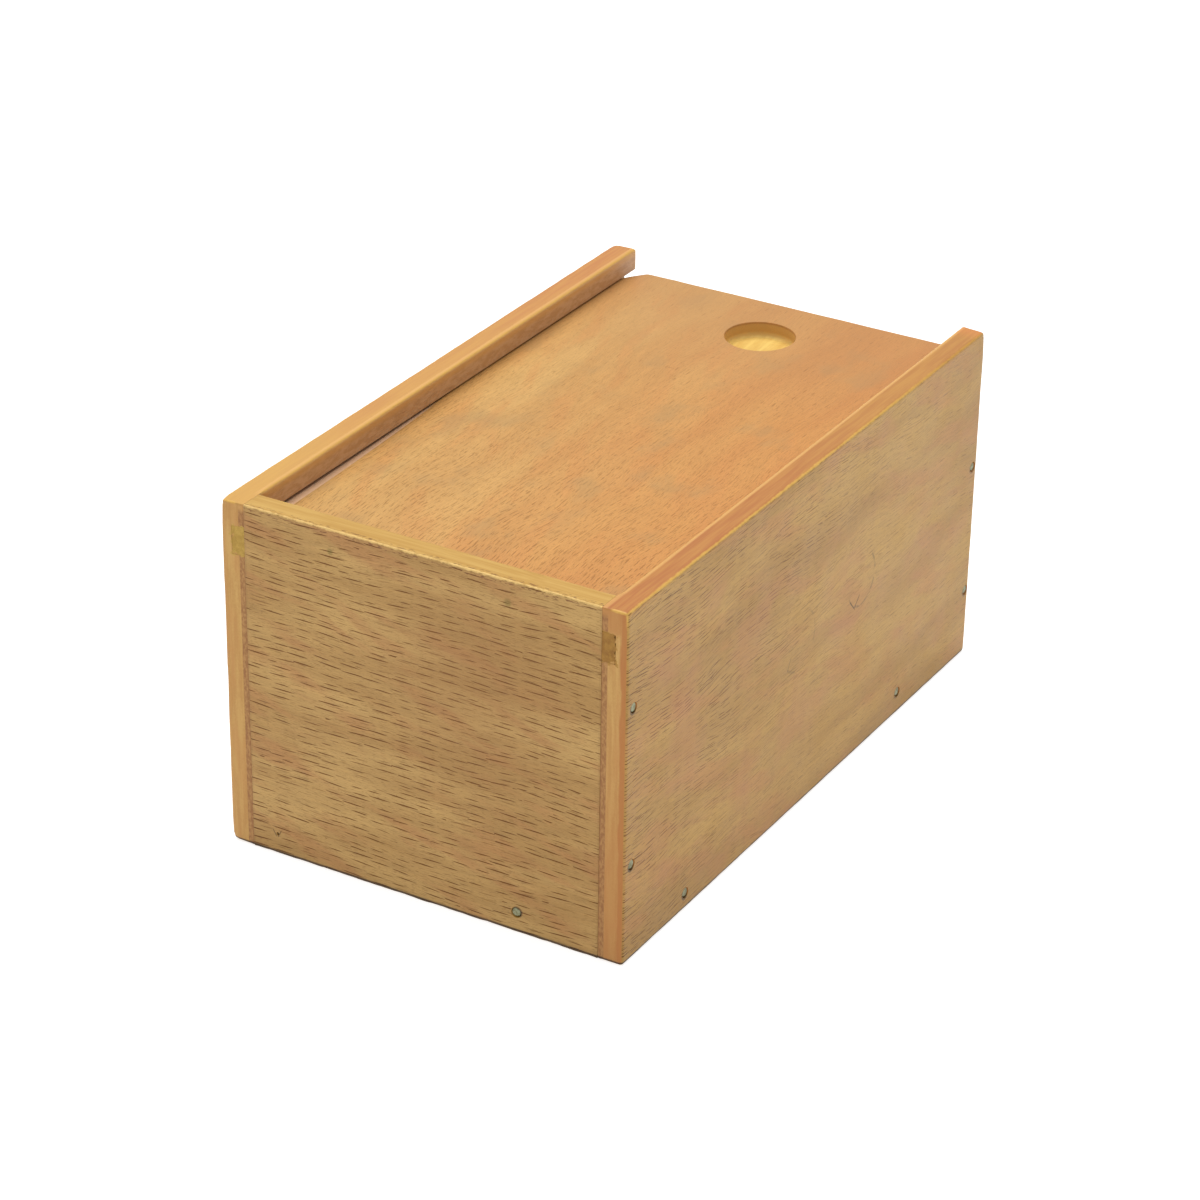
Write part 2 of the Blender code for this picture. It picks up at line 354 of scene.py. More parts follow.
class Beech(Recipe):
    """Beech with its grain along one axis of the box, and its broad faces square to another."""

    def __init__(self, name, along, through, low, high, seed, bend):
        super().__init__(name)
        across = next(axis for axis in AXES if axis not in (along, through))
        here = dict(zip(AXES, (self.x, self.y, self.z)))
        look = dict(zip(AXES, self.facing))
        self.low = low / MM
        self.high = high / MM
        self.seed = seed
        self.along = here[along]
        self.through = here[through]
        waves = self.point(self.along / 34.0 + seed, here[across] / 22.0, self.through / 40.0)
        drift = self.cloud(waves, 1.0)
        self.across = here[across] + (drift - 0.5) * (2.0 * bend)
        self.broad = self.rise(abs(look[through]), 0.6, 0.85)
        self.end_grain = self.rise(abs(look[along]), 0.6, 0.85)
        self.from_front = self.y - self.low.y
        self.from_top = self.high.z - self.z
        self.from_wall = abs(self.x) - WALL_INSIDE / MM
        self.thread = self.fibres()

    def from_arris(self):
        """How far a point of the board is from its nearest arris."""
        depths = []
        for here, near, far in zip((self.x, self.y, self.z), self.low, self.high):
            depths.append(self.smaller(here - near, far - here))
        first, second, third = depths
        return self.larger(self.smaller(first, second), self.smaller(self.larger(first, second), third))

    def stretched(self, length, width, depth, shift=0.0):
        """A point scaled so that one unit is that many millimetres along, across and through the board."""
        return self.point(self.along / length + self.seed + shift, self.across / width, self.through / depth)

    def bands(self, length, width, shift=0.0):
        """Soft long bands along the grain."""
        return self.cloud(self.stretched(length, width, width * 2.0, shift))

    def patches(self, length, width):
        """Broad patches that cross the grain at a low slope."""
        slanting = self.point(self.along / length + self.seed, (self.across + self.along * 0.25) / width,
                              self.through / length)
        return self.cloud(slanting, 3.0, 0.55)

    def flecks(self, pitch, row, length, width, share, shift=0.0):
        """Short dark spindles along the grain, one in a share of the cells of pitch by row."""
        cell = self.stretched(pitch, row, row * 3.0, shift)
        nearest = self.node("ShaderNodeTexVoronoi", {}, {"Vector": cell, "Scale": 1.0, "Randomness": 0.72},
                            "Position")
        offset = self.node("ShaderNodeVectorMath", {"operation": "SUBTRACT"}, {0: cell, 1: nearest})
        off_along, off_across, off_through = self.split(offset)
        luck, size, lean = self.split(nearest.output("Color"))
        run = off_along * pitch
        side = off_across * row - run * (lean - 0.5) * 0.06
        half_length = (size * 0.9 + 0.55) * (length / 2.0)
        half_width = (size * 0.5 + 0.75) * (width / 2.0)
        reach = (run / half_length) * (run / half_length) + abs(side / half_width)
        return self.rise(reach, 1.08, 0.62) * self.rise(luck, share + 0.1, share - 0.15)

    def fibres(self, length=7.0, width=0.22, shift=40.0):
        """The fine thread of the wood along the grain."""
        return self.cloud(self.stretched(length, width, width * 2.0, shift), 3.0, 0.6)

    def pores(self):
        """Tiny dark dashes all over a face."""
        return self.rise(self.cloud(self.stretched(0.9, 0.16, 0.3, shift=80.0), 1.0), 0.58, 0.72)

    def end_pattern(self):
        """Year rings cut across, with fine dots between them, on the board's end grain."""
        rings = self.cloud(self.point(self.along / 3.0 + 7.0, self.across / 11.0, self.through / 0.8))
        dots = self.cloud(self.point(self.along / 3.0, self.across / 0.5, self.through / 0.35), 2.0, 0.6)
        return rings * 0.7 + dots * 0.3

    def worn_and_highlit_line(self, width, ragged, distance):
        """An uneven line where a distance is nearly nothing: worn wood, and a painted highlight on the arris.
        """
        wander = self.cloud(self.scaled(1.5), 3.0, 0.65)
        edge = distance - (wander - 0.5) * (width * 4.0 * ragged)
        return self.rise(edge, width, width * 0.35)

    def nick(self, across, centre_across, centre_up, half_length, slope):
        """A short straight scratch in an upright face."""
        run = across - centre_across
        off = self.z - centre_up - run * slope
        return self.rise(abs(off), 0.34, 0.08) * self.rise(abs(run), half_length, half_length * 0.6)

    def paint_ground(self, ground, marks, band_length=55.0, band_width=8.0, patch_share=0.6):
        """Bands, patches, fine thread and pores, then dark marks on the broad faces."""
        pale, dark, patch = ground
        self.marks = marks * self.broad
        self.pits = self.marks
        self.colour = self.blend(self.rise(self.bands(band_length, band_width), 0.34, 0.66), dark, pale)
        self.paint(self.rise(self.patches(26.0, 6.5), 0.48, 0.68) * patch_share, patch)
        figure = self.bands(11.0, 1.8, shift=17.0)
        lightness = (self.thread - 0.5) * 0.55 + (figure - 0.5) * 0.16 + 1.0
        self.colour = self.times(self.colour, lightness)
        self.paint(self.pores() * 0.4, PORE_BROWN)
        self.paint(self.marks, FLECK_BROWN)

    def paint_contact_shadow(self):
        """Painted contact shadow: a dark band along the lower edge where the box stands, fainter on the
        underside.
        """
        foot = self.rise(self.z + self.thread * 0.3, 1.15, 0.75)
        self.paint(foot * (1.0 - self.looks(2, -1.0) * 0.75) * 0.9, CONTACT_SHADOW_BROWN)

    def paint_pin_hole_shadow(self, prefix, axis, aside, up):
        """Painted shadow in the crushed edge of a face's pin holes, on the side that aside and up point to.
        """
        across = (self.x, self.y)[axis]
        for node in PIN_NODES:
            if node.startswith(prefix):
                head_at = pin_seat(node)[0] / MM
                hole_shadow = self.spot(across, self.z, head_at[axis] + aside, head_at.z + up, 1.42, soft=0.22)
                self.paint(hole_shadow * (0.45 if "rear" in node else 0.7), HOLE_BROWN)

    def lacquer(self, roughness=0.40, coat=0.04):
        """Thin satin lacquer: the wood's thread and pits still show in the relief."""
        smears = self.cloud(self.scaled(9.0))
        uneven = (smears - 0.5) * 0.22 + (self.thread - 0.5) * 0.12 + roughness
        relief = (self.thread - 0.5) * 0.024 - self.pits * 0.04
        return self.finish(uneven, relief, coat=coat, specular=0.16)


# ---- the ends' finish

def closed_end_beech(low, high):
    """The closed end: rows of dark flecks on golden beech, a gold top and a top arris that is worn and
    carries a painted highlight.
    """
    wood = Beech("closed_end_beech", "X", "Y", low, high, seed=3.0, bend=1.6)
    bold = wood.flecks(pitch=6.0, row=1.7, length=5.2, width=0.27, share=0.92)
    second = wood.flecks(pitch=5.0, row=1.5, length=3.2, width=0.20, share=0.55, shift=21.0)
    fine = wood.flecks(pitch=2.4, row=0.8, length=1.4, width=0.14, share=0.6, shift=57.0)
    wood.paint_ground(CLOSED_END_GROUND, wood.larger(bold * 0.95, second * 0.5, fine * 0.35))
    wood.paint(wood.spot(wood.x, wood.z, 12.0, 54.0, 34.0, soft=1.0) * 0.30, RUDDY_BROWN)
    paint_stains_and_creases(wood)
    wood.paint_pin_hole_shadow("pin_front_right", 0, 0.25, 0.25)
    top = wood.looks(2, 1.0)
    top_lines = wood.rise(wood.fibres(30.0, 0.5, 90.0), 0.30, 0.75)
    wood.paint(top, wood.blend(top_lines, TOP_SHADE, TOP_GOLD))
    joint = wood.rise(abs(wood.x), wood.high.x - 0.25, wood.high.x - 0.05) * (1.0 - top)
    wood.paint(joint * 0.12, GRIME_BROWN)
    from_arris = wood.length(wood.from_front, wood.from_top)
    specks = wood.rise(wood.cloud(wood.stretched(1.2, 0.3, 0.3, shift=12.0)), 0.54, 0.64)
    near_arris = wood.rise(from_arris, 0.2, 0.6) * wood.rise(from_arris, 1.5, 1.1)
    wood.paint(specks * near_arris * 0.75, GRIME_BROWN)
    # A pale line on the top arris: wear and a painted highlight
    wood.paint(wood.worn_and_highlit_line(0.42, 0.7, from_arris) * 0.85, ARRIS_WORN_HIGHLIGHT)
    wood.paint_contact_shadow()
    return wood.lacquer()


def paint_stains_and_creases(wood):
    """Two greenish stains under the closed end's top, and the V mark over its buried pin."""
    face = wood.looks(1, -1.0)
    for across, size in ((20.6, 1.2), (-21.0, 0.9)):
        stain = wood.spot(wood.x, wood.z, across, wood.high.z - 5.0, size)
        wood.paint(stain * face * 0.5, STAIN_GREEN)
    buried = pin_seat(BURIED_PIN)[0] / MM
    for aside, slope in ((-0.7, -1.6), (0.5, 1.8)):
        crease = wood.nick(wood.x, buried.x + aside, buried.z + 0.1, 0.55, slope)
        wood.paint(crease * face * 0.7, HOLE_BROWN)


def open_end_beech(low, high):
    """The open end: the same stock as the closed end, calmer and a little greyer."""
    wood = Beech("open_end_beech", "X", "Y", low, high, seed=17.0, bend=2.0)
    bold = wood.flecks(pitch=6.8, row=2.1, length=3.6, width=0.26, share=0.8)
    fine = wood.flecks(pitch=3.4, row=1.1, length=1.8, width=0.16, share=0.6, shift=57.0)
    wood.paint_ground(OPEN_END_GROUND, wood.larger(bold * 0.75, fine * 0.4))
    wood.paint_pin_hole_shadow("pin_rear_", 0, -0.25, -0.25)
    from_arris = wood.length(wood.high.y - wood.y, wood.from_top)
    # A pale line on the top arris: wear and a painted highlight
    wood.paint(wood.worn_and_highlit_line(0.4, 0.5, from_arris) * 0.6, ARRIS_GOLD)
    wood.paint_contact_shadow()
    return wood.lacquer()


# ---- the sides' finish

def side_beech(name, low, high, seed, rim_near, rim_far, edge_darkening, filler):
    """A side board's flat-sawn beech, with golden arrises (wear and a painted highlight) and end grain at
    both ends.
    """
    wood = Beech(name, "Y", "X", low, high, seed, bend=3.0)
    wood.paint_ground(SIDE_GROUND, side_flecks(wood), band_length=70.0, band_width=11.0)
    rosy = wood.rise(wood.cloud(wood.point(seed, wood.y / 24.0, wood.z / 15.0), 3.0, 0.55), 0.48, 0.66)
    wood.paint(rosy * wood.broad * 0.30, ROSY_BROWN)
    wood.paint(bare_inside(wood) * 0.6, BARE_BEECH)
    paint_wall_bounce_light(wood)
    paint_rim(wood, rim_near, rim_far)
    paint_ends(wood, edge_darkening)
    paint_rim_arrises(wood)
    paint_front_strip(wood)
    smear = wood.rise(outside_putty(wood), 0.5, 0.15) * wood.rise(wood.from_front, 1.0, 0.6)
    wood.paint(smear * 0.85, filler)
    wood.paint_contact_shadow()
    return wood


def side_flecks(wood):
    """Fine flecks: crowded at the closed end and by its arris, sparse at the open end."""
    near_top = wood.rise(wood.y - wood.z * 0.9, 30.0, -110.0)
    near_arris = wood.rise(wood.from_front, 6.0, 1.0)
    dense = wood.flecks(pitch=5.0, row=0.85, length=5.0, width=0.21, share=0.9)
    sparse = wood.flecks(pitch=4.2, row=1.7, length=2.4, width=0.22, share=0.5, shift=31.0)
    clusters = wood.rise(wood.cloud(wood.stretched(17.0, 6.0, 12.0, shift=63.0)), 0.38, 0.60)
    strength = (near_top * 0.75 + 0.16) * (clusters * 0.65 + 0.35) + near_arris * 0.60
    return wood.larger(dense * wood.smaller(strength, 1.0), sparse * 0.5)


def bare_inside(wood):
    """Where the inside of the box shows unlacquered wood: between the ends, under the groove."""
    inner_face = wood.rise(wood.from_wall, 0.3, 0.1)
    under_groove = wood.rise(wood.z - GROOVE_LOW / MM, 0.2, -0.6)
    between_ends = wood.rise(abs(wood.y), wood.high.y - 5.0, wood.high.y - 6.4)
    return inner_face * under_groove * between_ends


def paint_wall_bounce_light(wood):
    """The low wall above the lid: mottled greyish tan, painted paler than its wood as painted bounce light
    from inside the box.
    """
    inner_face = wood.rise(wood.from_wall, 0.5, 0.2)
    above_lid = wood.rise(wood.z - GROOVE_HIGH / MM, -0.2, 0.0)
    mottled = wood.rise(wood.cloud(wood.stretched(3.0, 1.1, 9.0, shift=9.0), 4.0, 0.65), 0.38, 0.64)
    wood.paint(inner_face * above_lid * 0.9, wood.blend(mottled, WALL_BOUNCE_TAN, WALL_BOUNCE_PALE))


def paint_rim(wood, rim_near, rim_far):
    """The rim's top, from one colour to another along the box, and a painted highlight on its inner arris."""
    drift = (wood.bands(30.0, 9.0, shift=5.0) - 0.5) * 120.0
    along_rim = wood.rise(wood.y + drift, wood.low.y, wood.high.y)
    lines = wood.cloud(wood.point(wood.x / 0.8, wood.y / 18.0, wood.seed), 3.0, 0.6)
    streaks = wood.rise(lines, 0.36, 0.64) * 0.2
    rim_colour = wood.blend(streaks, wood.blend(along_rim, rim_near, rim_far), ARRIS_GOLD)
    wood.paint(wood.looks(2, 1.0) * wood.rise(wood.from_top, 10.0, 2.0), rim_colour)
    inner_arris_highlight = wood.rise(wood.from_wall, 1.3, 0.8) * wood.rise(wood.from_top, 2.5, 1.0)
    on_the_right = wood.rise(wood.x, 0.0, 1.0)
    past_end = wood.larger(wood.rise(wood.from_front, 4.0, 8.0), on_the_right * 0.7)
    wood.paint(inner_arris_highlight * past_end * 0.7, RIM_INNER_HIGHLIGHT)


def paint_rim_arrises(wood):
    """Lines on the rim's arrises, both wear and a painted highlight: browner at the open end, and none by the
    closed end.
    """
    worn = wood.worn_and_highlit_line(0.62, 0.25, wood.from_arris()) * wood.rise(wood.from_top, 4.0, 1.0)
    outer = wood.rise(wood.from_wall, 1.6, 2.6)
    past_end = wood.rise(wood.from_front, 5.0, 8.0)
    gold = wood.blend(wood.rise(wood.y, 10.0, 75.0) * outer * 0.7, ARRIS_GOLD, ARRIS_BROWN)
    wood.paint(worn * wood.larger(outer, past_end) * 0.8, gold)


def paint_ends(wood, edge_darkening):
    """The board's two ends: year rings, a warmer stain in places, and a darker tone along the outer edge,
    near the top and low down.
    """
    rings = wood.rise(wood.end_pattern(), 0.34, 0.66)
    end_colour = wood.blend(rings * 0.8, END_GRAIN_BROWN, END_GRAIN_GOLD)
    stain = wood.rise(wood.cloud(wood.point(wood.x / 2.5, 3.0, wood.z / 14.0)), 0.46, 0.66)
    end_colour = wood.blend(stain * 0.45, end_colour, END_GRAIN_WARM)
    wander = (wood.cloud(wood.point(wood.x / 3.0, 9.0, wood.z / 6.0)) - 0.5) * 1.2
    outer_edge = wood.rise(SIDE_HIGH.x / MM - abs(wood.x) - wander, 1.7, 1.1)
    near_top = wood.rise(wood.from_top - wander * 2.0, 7.0, 4.0)
    low_down = wood.rise(wood.z, wood.high.z, 5.0)
    darkened = wood.larger(outer_edge, near_top * 0.7, low_down * 0.65) * edge_darkening
    wood.paint(wood.end_grain, wood.blend(darkened, end_colour, END_GRAIN_DARK))


def paint_front_strip(wood):
    """The sunk strip next to the closed end: mottled brown, and darker at the joint; the brown is partly glue
    and dirt in the joint and partly painted shade of an eased arris that the shape leaves out.
    """
    mottled = wood.rise(wood.cloud(wood.point(wood.x / 0.6, 0.0, wood.z / 1.1), 3.0, 0.6), 0.38, 0.64)
    brown = wood.blend(mottled, STRIP_DARK, STRIP_PALE)
    brown = wood.blend(wood.rise(wood.from_wall, 0.42, 0.12) * 0.3, brown, GRIME_BROWN)
    inner = wood.rise(wood.from_wall - STRIP_WIDTH / MM, 0.2, 0.0)
    strip = inner * wood.rise(wood.from_front, 2.0, 1.2) * wood.rise(wood.from_top, 0.8, 2.4)
    wood.paint(strip * 0.85, brown)


def outside_putty(recipe):
    """How far a point of the front lies outside the wiped putty's wandering outline."""
    wander = recipe.cloud(recipe.point(recipe.x / 1.3, 5.0, recipe.z / 1.5), 3.0, 0.6)
    out = abs(recipe.x) - GROOVE_WALL / MM
    outside = recipe.larger(out, recipe.z - GROOVE_HIGH / MM, GROOVE_LOW / MM - recipe.z)
    return outside + (wander - 0.5) * 4.0 + 0.2


def left_side_beech(low, high):
    """The left side board: its rim goes from yellow at the closed end to pink."""
    wood = side_beech("left_side_beech", low, high, 29.0, RIM_YELLOW, RIM_PINK, 0.25, PUTTY_GREENISH)
    wood.paint_pin_hole_shadow("pin_left_", 1, -0.25, -0.22)
    return wood.lacquer()


def right_side_beech(low, high):
    """The right side board: orange rim, rubbed rings, and a few nicks in its face."""
    wood = side_beech("right_side_beech", low, high, 43.0, RIM_ORANGE, RIM_TAN, 0.85, PUTTY_BROWNISH)
    wood.paint_pin_hole_shadow("pin_right_", 1, -0.30, -0.22)
    rim_end = wood.looks(2, 1.0) * wood.rise(wood.y, wood.high.y - 7.0, wood.high.y - 1.5)
    wood.paint(rim_end * 0.45, RIM_GLOW)
    outside = wood.looks(0, 1.0)
    clear_ring = ring_mark(wood, back=22.3, up=43.0, radius=6.2, seed=3.0)
    faint_ring = ring_mark(wood, back=-6.2, up=41.0, radius=7.0, seed=9.0)
    wood.paint(wood.larger(clear_ring, faint_ring * 0.6) * outside * 0.55, RUB_BROWN)
    falling = wood.nick(wood.y, 18.3, 38.2, 1.5, slope=-1.1)
    rising = wood.nick(wood.y, 20.5, 38.4, 1.4, slope=1.0)
    steep = wood.nick(wood.y, -10.5, 37.0, 0.9, slope=1.8)
    nicks = wood.larger(falling, rising, steep * 0.8) * outside
    wood.paint(nicks * 0.8, NICK_BROWN)
    wood.pits = wood.larger(wood.marks * 0.5, nicks)
    return wood.lacquer()


def ring_mark(wood, back, up, radius, seed):
    """A faint broken ring rubbed into a side's face, such as a small tin's rim leaves."""
    run = wood.y - back
    rise = wood.z - up
    distance = abs(wood.length(run, rise) - radius)
    broken = wood.rise(wood.cloud(wood.point(wood.y / 2.4 + seed, wood.z / 2.4, 0.0), 2.0, 0.6), 0.46, 0.58)
    lower_right = wood.rise(run - rise, -radius * 0.9, radius * 0.2)
    return wood.rise(distance, 0.42, 0.08) * broken * lower_right


# ---- the lid's and the bottom's finish

def lid_beech(low, high, recess_at):
    """The lid: warm orange beech with greyish blotches, a bevel with painted sheen and a clear recess."""
    wood = Beech("lid_beech", "Y", "Z", low, high, seed=61.0, bend=3.4)
    near = wood.rise(wood.y, 60.0, -70.0)
    dense = wood.flecks(pitch=3.2, row=0.95, length=2.5, width=0.22, share=0.88)
    sparse = wood.flecks(pitch=5.0, row=2.2, length=1.9, width=0.27, share=0.4, shift=31.0)
    marks = wood.larger(dense * (near * 0.34 + 0.12), sparse * 0.36)
    left = wood.rise(wood.x, 36.0, -36.0)
    ground = [wood.blend(left, *pair) for pair in zip(LID_RIGHT_GROUND, LID_LEFT_GROUND)]
    wood.paint_ground(ground, marks, band_length=80.0, band_width=12.0, patch_share=0.4)
    blotch = wood.rise(wood.cloud(wood.point(wood.x / 15.0 + 5.0, wood.y / 22.0, 0.0), 3.0, 0.55), 0.52, 0.68)
    wood.paint(blotch * 0.4, LID_BLOTCH)
    wood.paint(wood.rise(wood.y, 15.0, 75.0) * 0.45, LID_FAR)
    # A pale line on the arrises: wear and a painted highlight
    wood.paint(wood.worn_and_highlit_line(0.5, 0.4, wood.from_arris()) * 0.5, ARRIS_GOLD)
    paint_bevel_sheen(wood)
    paint_recess(wood, recess_at / MM)
    return wood.lacquer(roughness=0.38, coat=0.05)


def paint_bevel_sheen(wood):
    """Painted sheen: the bevel on the lid's left edge is painted paler and greyer, for the white surroundings
    it reflects.
    """
    run = wood.from_front / ((wood.high.y - wood.low.y) * BEVEL_RUN)
    width = wood.larger(1.0 - run * run, 0.0) * (BEVEL_WIDTH / MM)
    bevel = wood.rise(width - WALL_INSIDE / MM - wood.x, 0.0, 0.25) * wood.rise(width, 0.1, 0.6)
    wood.paint(bevel * wood.looks(2, 1.0) * 0.85, BEVEL_SHEEN_PALE)


def paint_recess(wood, centre):
    """The finger recess, left a clear yellow, with long pale lines on its floor."""
    distance = wood.length(wood.x - centre.x, wood.y - centre.y)
    inside = wood.rise(distance - RECESS_RADIUS / MM, 0.1, -0.1) * wood.rise(wood.from_top, 0.3, 0.7)
    floor_lines = wood.rise(wood.fibres(9.0, 1.6, 15.0), 0.2, 0.8)
    floor_colour = wood.blend(floor_lines, RECESS_SHADE, RECESS_PALE)
    at_floor = wood.rise(wood.from_top - RECESS_DEPTH / MM, -0.6, -0.2)
    wood.paint(inside, wood.blend(at_floor, RECESS_WALL, floor_colour))


def bottom_beech(low, high):
    """The bottom board: sanded beech, hardly lacquered, scuffed grey underneath."""
    wood = Beech("bottom_beech", "Y", "Z", low, high, seed=83.0, bend=3.0)
    small = wood.flecks(pitch=3.6, row=1.3, length=2.0, width=0.22, share=0.7)
    large = wood.flecks(pitch=6.0, row=2.6, length=3.0, width=0.30, share=0.5, shift=11.0)
    wood.paint_ground(BOTTOM_GROUND, wood.larger(small * 0.5, large * 0.6))
    scuffs = wood.rise(wood.cloud(wood.point(wood.x / 6.0, wood.y / 6.0, 2.0), 5.0, 0.65), 0.5, 0.72)
    wood.paint(scuffs * wood.looks(2, -1.0) * 0.4, SCUFF_GREY)
    return wood.lacquer(roughness=0.55, coat=0.0)


# ---- putty and steel

def filler_putty(name, ground, shadow, seed):
    """Wood filler: sandy, with small pits, and thin over the wood at its outline."""
    putty = Recipe(name)
    shade = putty.cloud(putty.point(putty.x / 1.6 + seed, putty.y / 1.6, putty.z / 1.6), 4.0, 0.6)
    sand = putty.cloud(putty.scaled(0.22), 2.0, 0.7)
    putty.colour = putty.blend(putty.rise(shade, 0.35, 0.65), shadow, ground)
    putty.paint(putty.rise(outside_putty(putty), 0.05, 0.35) * 0.8, END_GRAIN_BROWN)
    putty.paint(putty.rise(sand, 0.62, 0.74) * 0.5, PUTTY_PIT)
    return putty.finish(sand * 0.2 + 0.5, sand * 0.05 + shade * 0.08, specular=0.2)


def pin_steel():
    """Dull grey pin steel, tarnished greenish, with dark specks."""
    steel = Recipe("pin_steel")
    tarnish = steel.rise(steel.cloud(steel.scaled(0.8), 4.0, 0.6), 0.42, 0.62)
    scratches = steel.cloud(steel.scaled(0.17), 5.0, 0.7)
    specks = steel.rise(steel.cloud(steel.scaled(0.17), 2.0, 0.6), 0.56, 0.68)
    steel.colour = steel.blend(tarnish, STEEL_GREY, STEEL_TARNISH)
    steel.paint(specks * 0.6, STEEL_SPECK)
    return steel.finish(scratches * 0.3 + 0.36, scratches * 0.03, metallic=0.5)


# ---- shapes

def clamp(value):
    """A value held between 0 and 1."""
    return min(1.0, max(0.0, value))


def cuts_between(start, end, step):
    """Where to cut a board along one axis: closely near both ends, a step apart between them."""
    zone = min(EDGE_ZONE, (end - start) * 0.45)
    near = [zone * (index / EDGE_CUTS) ** 1.5 for index in range(EDGE_CUTS + 1)]
    inner = end - start - 2.0 * zone
    count = max(1, round(inner / step))
    middle = [zone + inner * index / count for index in range(1, count)]
    far = [end - start - offset for offset in reversed(near)]
    return [start + offset for offset in near + middle + far]


def cut_up_box(low, high, steps, finer=lambda across: across):
    """A box cut into a grid, with a step for each axis; finer adds cuts on X."""
    shape = bmesh.new()
    bmesh.ops.create_cube(shape, size=1.0)
    for axis, step in enumerate(steps):
        cuts = cuts_between(low[axis], high[axis], step)
        if axis == 0:
            cuts = finer(cuts)
        run = [edge for edge in shape.edges if abs(edge.verts[0].co[axis] - edge.verts[1].co[axis]) > 0.5]
        bmesh.ops.subdivide_edges(shape, edges=run, cuts=len(cuts) - 2, use_grid_fill=True)
        for vertex in shape.verts:
            vertex.co[axis] = cuts[round((vertex.co[axis] + 0.5) * (len(cuts) - 1))]
    return shape


def near_sides(point, low, high):
    """For each axis, the nearer side of a box, and how far a point is from it."""
    sides = []
    for axis, letter in enumerate(AXES):
        to_low = point[axis] - low[axis]
        to_high = high[axis] - point[axis]
        sides.append(("-" + letter, to_low) if to_low < to_high else ("+" + letter, to_high))
    return sides


def arris_radius(point, sides, arrises, plain, wear, seed):
    """The soft edge's radius at a point, blended from its nearest arrises, or None far from all."""
    radius = 0.0
    total = 0.0
    nearest = math.inf
    for first, second in ((0, 1), (0, 2), (1, 2)):
        distance = math.hypot(sides[first][1], sides[second][1])
        nearest = min(nearest, distance)
        weight = 1.0 / (distance * distance + (0.2 * MM) ** 2)
        here = arrises.get(sides[first][0] + sides[second][0], plain)
        radius += weight * (here(point) if callable(here) else here)
        total += weight
    if nearest > 2.0 * EDGE_ZONE:
        return None
    wander = noise.noise(point / EDGE_WAVE + Vector((seed, 0.0, 0.0)))
    wander += 0.6 * noise.noise(point / EDGE_RIPPLE + Vector((0.0, seed, 0.0)))
    return radius / total * MM * max(0.25, 1.0 + wear * wander)


def soften(shape, low, high, arrises, plain, wear, unevenness, seed, dents=()):
    """Round a box's arrises, let its faces dip and press its dents in; radii are in millimetres."""
    for vertex in shape.verts:
        point = vertex.co.copy()
        sides = near_sides(point, low, high)
        radius = arris_radius(point, sides, arrises, plain, wear, seed)
        outward = Vector([(1.0 if name[0] == "+" else -1.0) if distance < 0.01 * MM else 0.0
                          for name, distance in sides])
        if radius is not None:
            core = Vector([min(max(point[axis], low[axis] + radius), high[axis] - radius)
                           for axis in range(3)])
            out = point - core
            if out.length > 0.0:
                outward = out.normalized()
                vertex.co = core + outward * radius
        inside = sorted(distance for name, distance in sides)[1]
        dip = 0.5 + 0.5 * noise.noise(point / FACE_WAVE + Vector((0.0, 0.0, seed)))
        vertex.co -= outward * (unevenness * MM * clamp(inside / FLAT_BORDER) * dip)
        for centre, size, depth in dents:
            share = (point - centre).length / size
            if share < 1.0:
                vertex.co -= outward * (depth * (1.0 - share * share))


def turn(shape, profile, segments, head_at, outward):
    """Add a solid turned from (radius, height) points, with its top at a place and its axis outward."""
    solid = bmesh.new()
    start = [solid.verts.new((radius, 0.0, height)) for radius, height in profile]
    edges = [solid.edges.new(pair) for pair in zip(start, start[1:])]
    bmesh.ops.spin(solid, geom=start + edges, cent=(0.0, 0.0, 0.0), axis=UP, angle=math.tau,
                   steps=segments, use_merge=True)
    bmesh.ops.remove_doubles(solid, verts=solid.verts, dist=0.002 * MM)
    place = Matrix.Translation(head_at) @ outward.to_track_quat("Z", "Y").to_matrix().to_4x4()
    bmesh.ops.transform(solid, matrix=place, verts=solid.verts)
    mesh = bpy.data.meshes.new("turned_solid")
    solid.to_mesh(mesh)
    solid.free()
    shape.from_mesh(mesh)
    bpy.data.meshes.remove(mesh)


def prism(shape, outline, start, end):
    """Add a bar with an (x, z) outline, running along Y."""
    corners = [shape.verts.new((x, start, z)) for x, z in outline]
    face = shape.faces.new(corners)
    grown = bmesh.ops.extrude_face_region(shape, geom=[face])
    moved = [item for item in grown["geom"] if isinstance(item, bmesh.types.BMVert)]
    bmesh.ops.translate(shape, verts=moved, vec=(0.0, end - start, 0.0))


# ---- pieces

def new_piece(name, shape, material=None):
    """Turn a bmesh into a named object in the scene."""
    mesh = bpy.data.meshes.new(name)
    bmesh.ops.recalc_face_normals(shape, faces=shape.faces)
    shape.to_mesh(mesh)
    shape.free()
    piece = bpy.data.objects.new(name, mesh)
    SCENE.collection.objects.link(piece)
    if material is not None:
        mesh.materials.append(material)
    return piece


def cut_away(piece, cutter_shape):
    """Cut a shape out of a piece for good, and remove the cutter."""
    cutter = new_piece(piece.name + "_cutter", cutter_shape)
    cutting = piece.modifiers.new("cut", "BOOLEAN")
    cutting.operation = "DIFFERENCE"
    cutting.solver = "EXACT"
    cutting.object = cutter
    depsgraph = bpy.context.evaluated_depsgraph_get()
    final = bpy.data.meshes.new_from_object(piece.evaluated_get(depsgraph))
    piece.modifiers.clear()
    piece.data = final
    bpy.data.objects.remove(cutter)


def hand_over(piece, body, node):
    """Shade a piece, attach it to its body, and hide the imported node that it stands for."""
    piece.data.shade_smooth()
    piece.data.set_sharp_from_angle(angle=SHARP_ANGLE)
    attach(piece, body)
    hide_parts(node)


# ---- pins

